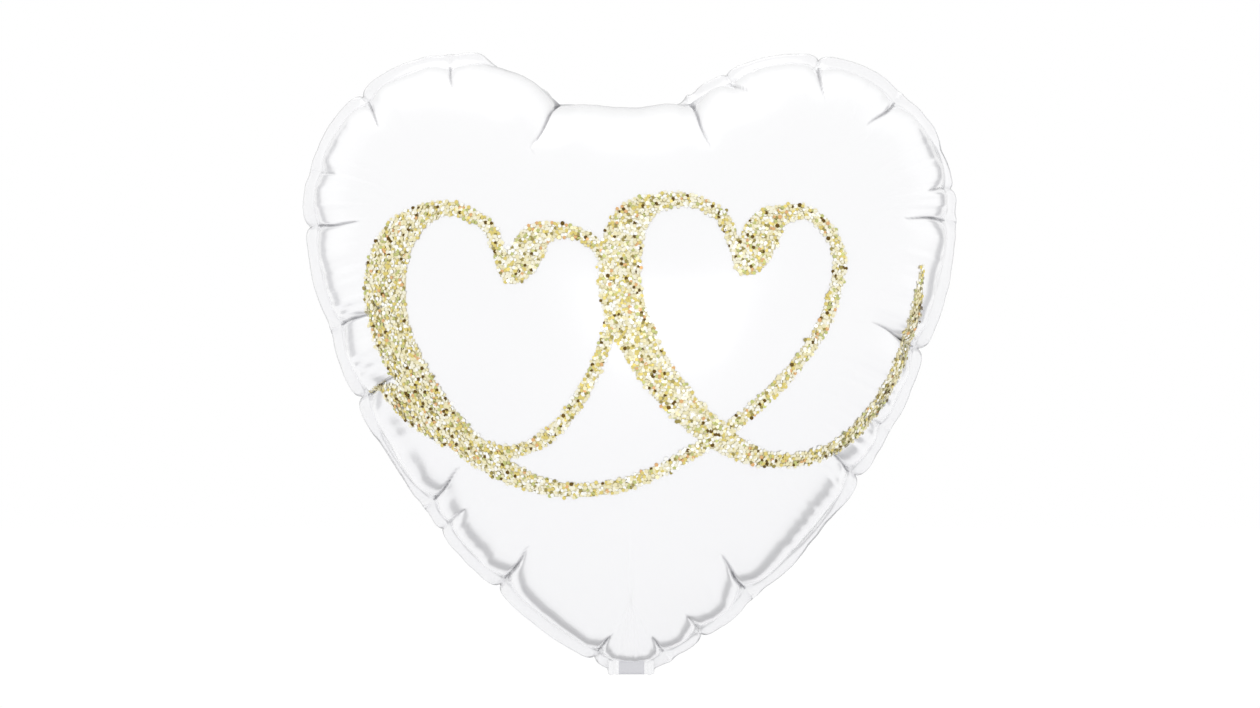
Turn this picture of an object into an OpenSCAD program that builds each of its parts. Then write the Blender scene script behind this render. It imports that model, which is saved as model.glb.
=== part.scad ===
// Heart-shaped foil balloon, inflated, with its tail folded behind the neck.
// Units are millimetres. +Z is up and the printed front faces -Y.
// The origin lies on the fold line across the neck, below the heart's tip.

/* [Heart outline] */
// Radius of the two round lobes, out to the cut edge of the film
lobe_r = 90; // [86:1:94]
// Sideways distance of each lobe's centre from the middle
lobe_x = 95; // [91:1:99]
// Height of the lobes' centres above the neck fold
lobe_z = 260; // [255:1:266]
// Height of the lowest point of the cleft between the lobes
cleft_z = 325; // [315:1:330]
// Radius of the long curved flanks
flank_r = 342; // [320:2:390]
// Radius of the rounded tip
tip_r = 44; // [40:1:50]
// Gap between the heart's cut edge and the neck fold line
neck_gap = 1.2; // [1.1:0.1:1.5]

/* [Inflated body] */
// How far each film panel bulges out from the seam
half_depth = 80; // [65:1:90]
// Height of the point where the bulge is deepest
crown_z = 185; // [170:5:200]
// Fullness of the bulge: 1 is an ellipse, and less is fuller
fullness = 0.8; // [0.7:0.05:1]
// Points round each ring of a panel
ring_points = 96; // [48:4:96]
// Rings between the weld line and the crown
dome_rings = 14; // [8:1:14]

/* [Film and seam] */
// Thickness that stands for one ply of film
film_t = 0.2; // [0.15:0.05:0.25]
// Space between the two plies at the seam
ply_gap = 0.7; // [0.6:0.05:0.8]
// Width of the heat-sealed seam
seam_w = 6.4; // [5:0.1:8]

/* [Tail] */
// Width of the filling tail
tail_w = 30; // [28:1:36]
// Length of the tail below the fold
tail_l = 55; // [50:1:65]
// Radius of the tail's two bottom corners
tail_corner_r = 6; // [4:1:8]
// Width of the heat seal down each side of the tail
tail_seal_w = 3; // [2:0.5:3.5]
// Turn of the folded tail from hanging straight down
tail_fold_angle = 112; // [90:1:114]
// Radius of the hole that the filling straw goes through
inlet_r = 4; // [3:0.5:5]
// Distance of the filling hole below the fold
inlet_drop = 40; // [35:1:42]

/* [Valve] */
// Width of the two valve films
valve_w = 22; // [18:1:23]
// Height of the valve's open upper end
valve_top = 100; // [80:5:110]
// Gap between the two valve films
valve_gap = 0.1; // [0.1:0.02:0.2]
// Height of the line that each free lip bends along
lip_hinge_z = 8.6; // [8.6:0.1:9]
// Clearance above the line that each lip bends along
lip_clearance = 0.4; // [0.3:0.1:0.6]
// Width of the weld down each side of the valve
valve_weld_w = 2; // [1.5:0.5:3]
// Thickness of the heat-proof coat inside the valve
coat_t = 0.04; // [0.03:0.01:0.05]

/* [Glitter print] */
// Width of the brush line where it rises
print_thin = 7; // [6:0.5:10]
// Width of the brush line where it falls
print_thick = 24; // [18:1:26]
// Thickness of the glitter layer
print_t = 0.3; // [0.2:0.05:0.4]
// Clearance between the glitter layer and the film
print_lift = 0.3; // [0.25:0.05:0.4]

/* [Hidden] */

film_colour = [0.96, 0.96, 0.97];
seal_colour = [0.88, 0.88, 0.90];
valve_colour = [0.80, 0.87, 0.90];
coat_colour = [0.35, 0.55, 0.75];
gold_colour = [0.80, 0.66, 0.28];

// Layers are counted outwards from the middle plane between the two panels.
ply_in = ply_gap / 2;
ply_out = ply_in + film_t;
valve_in = valve_gap / 2;
valve_out = valve_in + film_t;

crown = [0, crown_z];
tip_centre = [0, neck_gap + tip_r];
lobe_centre = [lobe_x, lobe_z];
cleft_drop = cleft_z - lobe_z;
// The cleft's arc touches both lobes from outside and has its lowest point at cleft_z.
cleft_r = (lobe_x ^ 2 + cleft_drop ^ 2 - lobe_r ^ 2) / (2 * (lobe_r - cleft_drop));
cleft_centre = [0, cleft_z + cleft_r];
flank_centre = inner_tangent_centre(lobe_centre, lobe_r, tip_centre, tip_r, flank_r);

// The brush line of the ornament, two linked hearts, as three strokes that don't cross themselves.
ENTRY_LINE = [[-147, 159], [-138, 162], [-127, 155], [-112, 143], [-92, 132], [-64, 127],
    [-37, 144], [-16, 181], [-9, 220], [-25, 244], [-49, 246], [-66, 225]];
MIDDLE_LINE = [[-66, 225], [-79, 251], [-105, 260], [-130, 242], [-135, 205], [-118, 164],
    [-86, 128], [-47, 108], [-6, 109], [37, 129], [78, 161], [106, 198], [114, 235],
    [98, 257], [76, 253], [62, 230]];
EXIT_LINE = [[62, 230], [49, 256], [24, 265], [0, 253], [-6, 217], [9, 178], [39, 142],
    [74, 123], [111, 128], [139, 155], [156, 194], [162, 229]];
stroke_steps = 6;
stroke_cells = 6;
neck_seal_gap = valve_w + 1;
eps = 0.01;

// Centre of the arc of radius big_r that holds both circles inside and touches each of them.
function inner_tangent_centre(a, a_r, b, b_r, big_r) =
    let (
        from_a = big_r - a_r,
        from_b = big_r - b_r,
        step = b - a,
        span = norm(step),
        along = (from_a ^ 2 - from_b ^ 2 + span ^ 2) / (2 * span),
        across = sqrt(from_a ^ 2 - along ^ 2)
    )
    a + along * step / span + across * [step.y, -step.x] / span;

function unit(v) = v / norm(v);
function heading(p) = atan2(p.y - crown.y, p.x - crown.x);

// Distance from the crown to a circle along a direction, on its far (1) or near (-1) side.
function reach(centre, radius, direction, side) =
    let (offset_c = centre - crown, along = offset_c * direction)
    along + side * sqrt(radius ^ 2 - offset_c * offset_c + along ^ 2);

// Distance from the crown to the outline set in by inset, at an angle from +X on the right half.
function right_reach(angle, inset) =
    let (
        direction = [cos(angle), sin(angle)],
        cleft_end = cleft_centre + (cleft_r + inset) * unit(lobe_centre - cleft_centre),
        lobe_end = flank_centre + (flank_r - inset) * unit(lobe_centre - flank_centre),
        flank_end = flank_centre + (flank_r - inset) * unit(tip_centre - flank_centre)
    )
    angle > heading(cleft_end) ? reach(cleft_centre, cleft_r + inset, direction, -1)
    : angle > heading(lobe_end) ? reach(lobe_centre, lobe_r - inset, direction, 1)
    : angle > heading(flank_end) ? reach(flank_centre, flank_r - inset, direction, 1)
    : reach(tip_centre, tip_r - inset, direction, 1);

// The same distance at any angle: the left half mirrors the right half.
function outline_reach(angle, inset) =
    let (folded = asin(sin(angle)))
    right_reach(folded, inset);

function ring_angle(i) = -90 + 360 * i / ring_points;

// One ring of points at a depth, where shrink is its share of the outline set in by inset.
function ring(inset, shrink, depth) =
    [for (i = [0:ring_points - 1])
        let (angle = ring_angle(i), r = shrink * outline_reach(angle, inset))
        [crown.x + r * cos(angle), -depth, crown.y + r * sin(angle)]];

// All points of one skin of the front panel: cut edge, weld line, dome rings and crown.
function skin(inset, base) = concat(
    ring(0, 1, base),
    [for (k = [0:dome_rings - 1])
        let (rise = 90 * k / dome_rings)
        each ring(inset, cos(rise) ^ fullness, base + half_depth * sin(rise))],
    [[crown.x, -(base + half_depth), crown.y]]
);

// Triangles between the rings of a skin whose first point has the index first.
function skin_faces(first, flip) =
    let (crown_index = first + (dome_rings + 1) * ring_points)
    [for (k = [0:dome_rings])
        for (i = [0:ring_points - 1])
            let (
                j = (i + 1) % ring_points,
                a = first + k * ring_points + i,
                b = first + k * ring_points + j
            )
            each (k == dome_rings
                ? [turned([a, b, crown_index], flip)]
                : [turned([a, b, b + ring_points], flip),
                    turned([a, b + ring_points, a + ring_points], flip)])];

function turned(face, flip) = flip ? [face[0], face[2], face[1]] : face;

// Triangles that close the cut edge between the outer skin and the inner one.
function edge_faces(first, second) =
    [for (i = [0:ring_points - 1])
        let (j = (i + 1) % ring_points)
        each [[first + i, second + j, first + j], [first + i, second + i, second + j]]];

// One film panel, a thin heart-shaped dish that bulges towards -Y.
module panel() {
    outer = skin(seam_w, ply_out);
    inner = skin(seam_w + film_t, ply_in);
    count = len(outer);
    polyhedron(
        points = concat(outer, inner),
        faces = concat(skin_faces(0, false), skin_faces(count, true), edge_faces(0, count))
    );
}

module heart_flat(inset) {
    polygon([for (i = [0:ring_points - 1])
        let (angle = ring_angle(i), r = outline_reach(angle, inset))
        [crown.x + r * cos(angle), crown.y + r * sin(angle)]]);
}

// Stands a flat shape up in the XZ plane, from depth y_low to y_high.
module upright(y_low, y_high) {
    translate([0, y_high, 0])
        rotate([90, 0, 0])
            linear_extrude(y_high - y_low)
                children();
}

// Depth of the front panel's outer face at a place on the dome.
function dome_depth(p) =
    let (
        offset_p = p - crown,
        share = norm(offset_p) / outline_reach(heading(p), seam_w)
    )
    ply_out + half_depth * sqrt(max(0, 1 - share ^ (2 / fullness)));

function clamp_index(line, i) = line[max(0, min(len(line) - 1, i))];

// Point on the smooth curve through a line's points, at the share t after point i.
function curve_point(line, i, t) =
    let (
        p0 = clamp_index(line, i - 1),
        p1 = clamp_index(line, i),
        p2 = clamp_index(line, i + 1),
        p3 = clamp_index(line, i + 2)
    )
    0.5 * (2 * p1 + (p2 - p0) * t + (2 * p0 - 5 * p1 + 4 * p2 - p3) * t ^ 2
        + (3 * p1 - p0 - 3 * p2 + p3) * t ^ 3);

function curve(line) = [for (i = [0:len(line) - 2])
    for (k = [0:stroke_steps - 1])
        curve_point(line, i, k / stroke_steps)];

function direction_at(path, i) =
    unit(path[min(i + 1, len(path) - 1)] - path[max(i - 1, 0)]);

// A falling brush line is broad and a rising one is thin.
function brush_width(direction) =
    print_thin + (print_thick - print_thin) * max(0, -direction.y) ^ 1.5;

// A layer of print that follows the front panel along a brush line.
module print_stroke(line) {
    path = curve(line);
    row = stroke_cells + 1;
    grid = [for (i = [0:len(path) - 1])
        let (direction = direction_at(path, i), side = [direction.y, -direction.x])
        for (k = [0:stroke_cells])
            path[i] + side * brush_width(direction) * (k / stroke_cells - 0.5)];
    lower = [for (p = grid) [p.x, -(dome_depth(p) + print_lift), p.y]];
    upper = [for (p = grid) [p.x, -(dome_depth(p) + print_lift + print_t), p.y]];
    count = len(grid);
    last = len(path) - 1;
    across = [for (i = [0:last - 1])
        for (k = [0:stroke_cells - 1])
            let (a = i * row + k)
            each [[a, a + 1, a + row + 1], [a, a + row + 1, a + row]]];
    rim = concat(
        [for (k = [0:stroke_cells]) k],
        [for (i = [1:last]) i * row + stroke_cells],
        [for (k = [1:stroke_cells]) last * row + stroke_cells - k],
        [for (i = [1:last - 1]) (last - i) * row]
    );
    sides = [for (i = [0:len(rim) - 1])
        let (a = rim[i], b = rim[(i + 1) % len(rim)])
        each [[a, b + count, b], [a, a + count, b + count]]];
    polyhedron(
        points = concat(lower, upper),
        faces = concat(across, [for (f = across) [f[0], f[2], f[1]] + [count, count, count]], sides)
    );
}

module front_panel() {
    color(film_colour)
        panel();
}

module rear_panel() {
    color(film_colour)
        mirror([0, 1, 0])
            panel();
}

// The weld layer between the plies, left open at the neck where the valve passes.
module perimeter_seal() {
    color(seal_colour)
        upright(-ply_in, ply_in)
            difference() {
                heart_flat(0);
                heart_flat(seam_w);
                translate([-neck_seal_gap / 2, 0])
                    square([neck_seal_gap, neck_gap + 2 * seam_w]);
            }
}

module print_entry_stroke() {
    color(gold_colour)
        print_stroke(ENTRY_LINE);
}

module print_middle_stroke() {
    color(gold_colour)
        print_stroke(MIDDLE_LINE);
}

module print_exit_stroke() {
    color(gold_colour)
        print_stroke(EXIT_LINE);
}

// The stretch of valve film that is welded to a panel inside the neck.
module anchor_flat() {
    translate([-valve_w / 2, neck_gap])
        square([valve_w, lip_hinge_z - neck_gap]);
}

module valve_anchor_front() {
    color(valve_colour)
        upright(-ply_in, -valve_in)
            intersection() {
                anchor_flat();
                heart_flat(0);
            }
}

module valve_anchor_rear() {
    color(valve_colour)
        mirror([0, 1, 0])
            upright(-ply_in, -valve_in)
                intersection() {
                    anchor_flat();
                    heart_flat(0);
                }
}

// Heat-proof ink on the front film that keeps the valve from welding shut at the seam.
module release_coat() {
    coat_w = valve_w - 2 * valve_weld_w;
    color(coat_colour)
        upright(-valve_in, -valve_in + coat_t)
            translate([-coat_w / 2, neck_gap + 1])
                square([coat_w, lip_hinge_z - neck_gap - 1]);
}

// A free lip of the valve stands inside the body, flat against the other one.
module lip() {
    lip_low = lip_hinge_z + lip_clearance;
    upright(-valve_out, -valve_in)
        translate([-valve_w / 2, lip_low])
            square([valve_w, valve_top - lip_low]);
}

module valve_front_film() {
    color(valve_colour)
        lip();
}

module valve_rear_film() {
    color(valve_colour)
        mirror([0, 1, 0])
            lip();
}

// The two long welds that make a flat channel of the valve films.
module valve_side_welds() {
    weld_low = lip_hinge_z + lip_clearance;
    color(seal_colour)
        for (side = [-1, 1])
            upright(-valve_in + 2 * eps, valve_in)
                translate([side * (valve_w - valve_weld_w) / 2 - valve_weld_w / 2, weld_low])
                    square([valve_weld_w, valve_top - weld_low]);
}

// Turns a piece of the tail from hanging down to its place behind the neck.
module folded() {
    rotate([tail_fold_angle, 0, 0])
        children();
}

// Flat outline of a tail ply, hanging from drop below the fold.
module tail_flat(drop) {
    inner_w = tail_w - 2 * tail_corner_r;
    translate([-tail_w / 2, -tail_l + tail_corner_r])
        square([tail_w, tail_l - tail_corner_r - drop]);
    translate([-inner_w / 2, -tail_l])
        square([inner_w, 2 * tail_corner_r]);
    for (side = [-1, 1])
        translate([side * inner_w / 2, -tail_l + tail_corner_r])
            circle(r = tail_corner_r, $fn = 48);
}

// Flat outline of a valve film inside the tail, down to just below the filling hole.
module inlet_flat() {
    inlet_low = inlet_drop + 2 * inlet_r;
    translate([-valve_w / 2, -inlet_low])
        square([valve_w, inlet_low - 2 * ply_out]);
}

module inlet_hole() {
    translate([0, -inlet_drop])
        circle(r = inlet_r, $fn = 64);
}

// The front ply wraps round the outside of the fold as a small roll.
module tail_front_ply() {
    color(film_colour)
        folded()
            difference() {
                union() {
                    upright(-ply_out, -ply_in)
                        tail_flat(0);
                    rotate([0, 90, 0])
                        cylinder(h = tail_w, r = ply_out, center = true, $fn = 48);
                }
                rotate([0, 90, 0])
                    cylinder(h = tail_w + 2, r = ply_in, center = true, $fn = 48);
            }
}

module tail_rear_ply() {
    color(film_colour)
        folded()
            upright(ply_in, ply_out)
                difference() {
                    tail_flat(2 * ply_out);
                    inlet_hole();
                }
}

module tail_side_seals() {
    color(seal_colour)
        folded()
            for (side = [-1, 1])
                upright(-ply_in, ply_in)
                    translate([side * (tail_w - tail_seal_w) / 2 - tail_seal_w / 2, -tail_l + tail_corner_r])
                        square([tail_seal_w, tail_l - tail_corner_r - 2 * ply_out]);
}

module valve_inlet_front() {
    color(valve_colour)
        folded()
            upright(-valve_out, -valve_in)
                inlet_flat();
}

module valve_inlet_rear() {
    color(valve_colour)
        folded()
            upright(valve_in, valve_out)
                difference() {
                    inlet_flat();
                    inlet_hole();
                }
}

front_panel();
rear_panel();
perimeter_seal();
print_entry_stroke();
print_middle_stroke();
print_exit_stroke();
valve_anchor_front();
valve_anchor_rear();
release_coat();
valve_front_film();
valve_rear_film();
valve_side_welds();
tail_front_ply();
tail_rear_ply();
tail_side_seals();
valve_inlet_front();
valve_inlet_rear();
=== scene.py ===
"""An inflated heart-shaped foil balloon: two pearl-white film panels welded round a crumpled rim,
a gold glitter brush-line print, and a filling tail folded behind the neck.

Lengths are in metres, and MM turns a length in millimetres into them. The front faces -Y.
"""

import math

import bpy
import numpy as np
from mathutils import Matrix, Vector
from mathutils.bvhtree import BVHTree


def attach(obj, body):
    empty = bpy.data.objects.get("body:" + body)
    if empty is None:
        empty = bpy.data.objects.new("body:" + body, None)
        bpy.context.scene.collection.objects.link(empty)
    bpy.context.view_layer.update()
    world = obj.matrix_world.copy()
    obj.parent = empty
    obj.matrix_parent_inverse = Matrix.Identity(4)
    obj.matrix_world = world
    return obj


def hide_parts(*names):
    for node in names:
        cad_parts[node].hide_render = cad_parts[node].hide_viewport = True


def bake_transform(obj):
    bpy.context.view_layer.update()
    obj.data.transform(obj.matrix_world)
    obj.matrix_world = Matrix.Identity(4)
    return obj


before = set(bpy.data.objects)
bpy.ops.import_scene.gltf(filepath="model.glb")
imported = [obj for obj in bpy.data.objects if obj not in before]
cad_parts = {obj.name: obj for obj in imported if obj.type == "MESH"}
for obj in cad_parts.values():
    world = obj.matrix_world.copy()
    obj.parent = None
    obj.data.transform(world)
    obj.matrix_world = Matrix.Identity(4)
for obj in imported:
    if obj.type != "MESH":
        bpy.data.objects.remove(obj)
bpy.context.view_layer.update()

MM = 0.001

# ---------------------------------------------------------------- sizes, as the CAD model has them
LOBE_R = 90 * MM
LOBE_CENTRE = np.array([95, 260]) * MM
CLEFT_Z = 325 * MM
FLANK_R = 342 * MM
TIP_R = 44 * MM
NECK_GAP = 1.2 * MM
CROWN = np.array([0, 185]) * MM
SEAM_W = 6.4 * MM
BULGE = 79.4 * MM
PLY = 0.45 * MM
MIDDLE = Vector((0, 0, 190 * MM))

TAIL_W = 30 * MM
TAIL_L = 55 * MM
TAIL_CORNER_R = 6 * MM
TAIL_WELD_W = 3 * MM
TAIL_RISE = math.radians(22)
INLET_R = 4 * MM
INLET_DROP = 40 * MM

# The brush line of two linked hearts: its points across and up, in millimetres.
BRUSH_LINE = [
    (-147, 159), (-138, 162), (-127, 155), (-112, 143), (-92, 132), (-64, 127), (-37, 144),
    (-16, 181), (-9, 220), (-25, 244), (-49, 246), (-66, 225), (-79, 251), (-105, 260),
    (-130, 242), (-135, 205), (-118, 164), (-86, 128), (-47, 108), (-6, 109), (37, 129),
    (78, 161), (106, 198), (114, 235), (98, 257), (76, 253), (62, 230), (49, 256), (24, 265),
    (0, 253), (-6, 217), (9, 178), (39, 142), (74, 123), (111, 128), (139, 155), (156, 194),
    (162, 229),
]
BRUSH_THIN = 7.5 * MM
BRUSH_THICK = 24 * MM

# The glitter's lacquers: name, colour, roughness and share of the flakes.
FLAKES = [
    ("flake_champagne", "#F6F2DC", 0.2, 0.27),
    ("flake_pale_gold", "#EFE7BE", 0.2, 0.24),
    ("flake_gold", "#E0CF7E", 0.18, 0.14),
    ("flake_green_gold", "#C6C884", 0.2, 0.07),
    ("flake_olive", "#A3965A", 0.22, 0.05),
    ("flake_bronze", "#6B5426", 0.24, 0.04),
    ("flake_white_gold", "#FFFFFA", 0.15, 0.16),
    ("flake_copper", "#E4B680", 0.2, 0.03),
]
FLAKE_PITCH = 1.75 * MM

# The rim's main creases, one a row: heading from the crown in degrees, how far the crease runs in
# from the seam, how deep it is, how far it pulls the seam in, all in millimetres, its lean from
# the square direction in degrees, and which way the seam folds there. A crease is steep on one
# side and gentle on the other, and it lies in a broad valley between low shoulders.
CREASES = [
    (104, 37, 5.0, 6.0, -6, 1), (78, 30, 4.6, 3.4, 4, -1), (71, 12, 2.4, 1.6, 24, 1),
    (122, 15, 3.0, 2.0, 8, -1), (137, 19, 3.6, 2.4, -12, 1), (151, 10, 2.4, 1.8, 0, -1),
    (160, 28, 4.0, 2.8, -4, 1), (177, 30, 4.6, 3.2, 2, -1), (191, 26, 4.4, 2.8, 4, 1),
    (218, 28, 4.8, 3.4, 12, -1), (224, 15, 2.6, 1.4, 2, 1), (241, 26, 4.4, 3.0, 8, 1),
    (57, 20, 3.6, 2.2, 14, 1), (43, 24, 4.0, 2.6, -8, -1), (26, 12, 2.6, 1.8, 0, 1),
    (21, 27, 4.2, 2.8, 3, -1), (-1, 30, 4.8, 3.4, -6, 1), (-18, 9, 2.4, 2.0, 0, -1),
    (-30, 24, 4.4, 3.2, -8, 1), (-64, 28, 4.6, 3.4, -6, -1),
    (-76, 11, 2.6, 1.6, 0, 1), (-83, 13, 3.0, 1.6, 8, -1), (-97, 14, 3.2, 1.6, -8, 1),
]
CREASE_STEEP = 0.45 * MM
CREASE_GENTLE = 1.5 * MM
# Widths of the painted shade lines along each fold and along the turned-back seam.
FOLD_SHADE_WIDTH = 0.5 * MM
SEAM_SHADE_WIDTH = 1.1 * MM
SCALLOP = 1.6 * MM
FLANGE_CURL = 3.2 * MM

# Stretches where the flange is turned back: heading from the crown in degrees, half length in
# millimetres and angle in degrees.
TURNED_BACK = [(91, 36, 62), (110, 24, 58), (30, 15, 28), (-45, 22, 16), (205, 20, 18)]

# The rings of the panel mesh: the flange's widths out from the weld line and the panel's depths in
# from it, in millimetres, and how many points go round. The points crowd together at the creases.
RIM_POINTS = 1536
POINT_GAP = 1.15 * MM
CREASE_POINT_GAP = 0.42 * MM
FLANGE_WIDTHS = [6.4, 4.8, 3.2, 1.6]
RING_DEPTHS = [0, 0.15, 0.45, 0.9, 1.6, 2.5, 3.6, 5, 6.7, 8.6, 10.8, 13.2, 15.8, 18.6, 21.6,
               24.8, 28.2, 31.8, 35.6]
FINE_RINGS = 17
INNER_RINGS = 24
CORE_DEPTH = 125 * MM


# ---------------------------------------------------------------- camera
def make_camera():
    """A long lens square to the front, level with the middle of the picture."""
    lens = bpy.data.cameras.new("camera")
    lens.lens = 100
    lens.sensor_width = 36
    picture_width = 712.8 * MM
    aim_x, aim_z = -0.6 * MM, 180.5 * MM
    camera = bpy.data.objects.new("camera", lens)
    bpy.context.scene.collection.objects.link(camera)
    camera.location = (aim_x, -picture_width * lens.lens / lens.sensor_width, aim_z)
    camera.rotation_euler = (math.radians(90), 0, 0)
    bpy.context.scene.camera = camera


# ---------------------------------------------------------------- small tools
def unit(v):
    """Vectors cut or stretched to length 1."""
    return v / np.linalg.norm(v, axis=-1, keepdims=True)


def smooth(t):
    """A soft step from 0 to 1 as t goes from 0 to 1."""
    t = np.clip(t, 0, 1)
    return t * t * (3 - 2 * t)


def new_piece(name, points, faces, materials, body=None, smooth_faces=True):
    """A mesh piece with its materials in order, which rides on a body if one is named."""
    mesh = bpy.data.meshes.new(name)
    mesh.from_pydata([tuple(p) for p in np.asarray(points, float)], [], [tuple(f) for f in faces])
    mesh.shade_smooth() if smooth_faces else mesh.shade_flat()
    piece = bpy.data.objects.new(name, mesh)
    bpy.context.scene.collection.objects.link(piece)
    for material in materials:
        mesh.materials.append(material)
    if body:
        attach(piece, body)
    return piece


def thicken(piece, thickness, offset):
    """Gives a sheet its thickness: inwards where offset is -1, and both ways where it is 0."""
    wall = piece.modifiers.new("film thickness", "SOLIDIFY")
    wall.thickness = thickness
    wall.offset = offset


# ---------------------------------------------------------------- heart outline
def inner_tangent_centre(a, a_r, b, b_r, big_r):
    """Centre of the arc of radius big_r that holds two circles inside and touches them both."""
    from_a, from_b = big_r - a_r, big_r - b_r
    step = b - a
    span = np.linalg.norm(step)
    along = (from_a**2 - from_b**2 + span**2) / (2 * span)
    across = math.sqrt(from_a**2 - along**2)
    return a + (along * step + across * np.array([step[1], -step[0]])) / span


def direction_angle(a, b):
    """Angle of the direction from a to b."""
    return math.atan2(b[1] - a[1], b[0] - a[0])


def right_half_arcs():
    """The right half of the cut edge, from the tip to the cleft, as arcs: centre, radius, side
    (1 where the arc bulges outwards), start angle and end angle."""
    tip = np.array([0, NECK_GAP + TIP_R])
    drop = CLEFT_Z - LOBE_CENTRE[1]
    cleft_r = (LOBE_CENTRE[0] ** 2 + drop**2 - LOBE_R**2) / (2 * (LOBE_R - drop))
    cleft = np.array([0, CLEFT_Z + cleft_r])
    flank = inner_tangent_centre(LOBE_CENTRE, LOBE_R, tip, TIP_R, FLANK_R)
    tip_end = direction_angle(flank, tip)
    flank_end = direction_angle(flank, LOBE_CENTRE)
    lobe_end = direction_angle(LOBE_CENTRE, cleft)
    return [
        (tip, TIP_R, 1, -math.pi / 2, tip_end),
        (flank, FLANK_R, 1, tip_end, flank_end),
        (LOBE_CENTRE, LOBE_R, 1, flank_end, lobe_end),
        (cleft, cleft_r, -1, lobe_end - math.pi, -math.pi / 2),
    ]


def even_rim(half_count=4000):
    """Points evenly spaced round the cut edge from the tip, anticlockwise from the front, their
    outward directions, their places along it, and its length."""
    arcs = right_half_arcs()
    lengths = [radius * abs(end - start) for _, radius, _, start, end in arcs]
    half = sum(lengths)
    points, outward = [], []
    for left in np.linspace(0, half, half_count + 1):
        k = 0
        while k < len(arcs) - 1 and left > lengths[k]:
            left -= lengths[k]
            k += 1
        centre, radius, side, start, end = arcs[k]
        angle = start + (end - start) * min(1, left / lengths[k])
        ray = np.array([math.cos(angle), math.sin(angle)])
        points.append(centre + radius * ray)
        outward.append(side * ray)
    mirror = np.array([-1, 1])
    points = np.array(points + [p * mirror for p in points[-2::-1]])
    outward = np.array(outward + [n * mirror for n in outward[-2::-1]])
    return points, outward, np.linspace(0, 2 * half, len(points)), 2 * half


class Rim:
    """The cut edge, with its creases: points that crowd at each crease."""

    def __init__(self):
        points, outward, places, self.length = even_rim()
        headings = np.degrees(np.arctan2(points[:, 1] - CROWN[1], points[:, 0] - CROWN[0]))

        def index_at(heading):
            return int(np.argmin(np.abs((headings - heading + 180) % 360 - 180)))

        self.hidden = [(places[index_at(heading)], half * MM, math.radians(angle))
                       for heading, half, angle in TURNED_BACK]
        self.creases = []
        for heading, run, deep, notch, lean, fold in CREASES:
            i = index_at(heading)
            turn = math.radians(lean)
            inward = -outward[i]
            ray = np.array([inward[0] * math.cos(turn) - inward[1] * math.sin(turn),
                            inward[0] * math.sin(turn) + inward[1] * math.cos(turn)])
            self.creases.append((points[i] + inward * SEAM_W, ray, places[i],
                                 run * MM, deep * MM, notch * MM, fold))
        crowded = 6.5 * MM
        crowd = sum(np.exp(-((self.away(places, at) / crowded) ** 4))
                    for _, _, at, *_ in self.creases)
        density = 1 / POINT_GAP + (1 / CREASE_POINT_GAP - 1 / POINT_GAP) * np.minimum(crowd, 1)
        total = np.concatenate([[0], np.cumsum((density[1:] + density[:-1]) / 2)])
        wanted = np.arange(RIM_POINTS) / RIM_POINTS * total[-1]
        self.place = np.interp(wanted, total, places)
        self.points = np.column_stack([np.interp(self.place, places, points[:, k]) for k in (0, 1)])
        self.outward = unit(np.column_stack([np.interp(self.place, places, outward[:, k])
                                             for k in (0, 1)]))

    def away(self, place, at):
        """Signed distance along the rim from a place on it, the short way round."""
        return (place - at + self.length / 2) % self.length - self.length / 2

    def waves(self, pitch, seed):
        """Smooth random waves along the rim, between -1 and 1, about pitch apart."""
        rng = np.random.default_rng(seed)
        count = max(4, round(self.length / pitch))
        values = rng.uniform(-1, 1, count)
        t = self.place / self.length * count
        low = np.floor(t).astype(int)
        share = smooth(t - low)
        return values[low % count] * (1 - share) + values[(low + 1) % count] * share

    def pull(self):
        """How far the seam is drawn in: a notch at each crease, and a scallop between two."""
        drawn = np.full(RIM_POINTS, -SCALLOP)
        for _, _, at, run, _, notch, _ in self.creases:
            drawn += notch * np.exp(-np.abs(self.away(self.place, at)) / (4 * MM + 0.22 * run))
        return drawn

    def sway(self):
        """How far the weld line lies out of its plane, towards +Y."""
        out = 0.7 * MM * self.waves(30 * MM, 3)
        for _, _, at, _, deep, _, fold in self.creases:
            away = self.away(self.place, at)
            out += fold * 0.22 * deep * np.exp(-np.abs(away) / (5 * MM))
        return out

    def flange(self, width):
        """Where the flange lies at a width out from the weld line: its reach outwards and its
        depth towards +Y. Pressure curls it back next to the weld."""
        turn = self.flange_turn()
        curl = FLANGE_CURL * (1 + 0.4 * self.waves(35 * MM, 8)) * (1 - (1 - width / SEAM_W) ** 2)
        reach = width * np.cos(turn) - curl * np.sin(turn)
        back = width * np.sin(turn) + curl * np.cos(turn)
        return reach, back

    def flange_turn(self):
        """How far the flange is turned back towards +Y from flat, as an angle."""
        turn = 0.16 * self.waves(24 * MM, 4) + 0.08 * self.waves(7 * MM, 6)
        for _, _, at, _, deep, _, fold in self.creases:
            away = self.away(self.place, at)
            turn += fold * deep / MM * 0.16 * np.exp(-np.abs(away) / (2.6 * MM))
            turn -= fold * deep / MM * 0.05 * np.exp(-((away / (11 * MM)) ** 2))
        return turn + self.turned_back()

    def turned_back(self):
        """The part of the flange's turn that puts it out of sight, as an angle."""
        ends = 9 * MM
        return sum(angle * smooth((half + ends - np.abs(self.away(self.place, at))) / (2 * ends))
                   for at, half, angle in self.hidden)


# ---------------------------------------------------------------- panel mesh, flat
def strip(outer, outer_count, inner, inner_count):
    """Triangles between two rings of points, where the inner one has as many points or half."""
    made = []
    for i in range(inner_count):
        j = (i + 1) % inner_count
        if inner_count == outer_count:
            made += [(outer + i, outer + j, inner + j), (outer + i, inner + j, inner + i)]
            continue
        middle = outer + 2 * i + 1
        after = outer + (2 * i + 2) % outer_count
        made += [(outer + 2 * i, middle, inner + i), (middle, inner + j, inner + i),
                 (middle, after, inner + j)]
    return made


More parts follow.
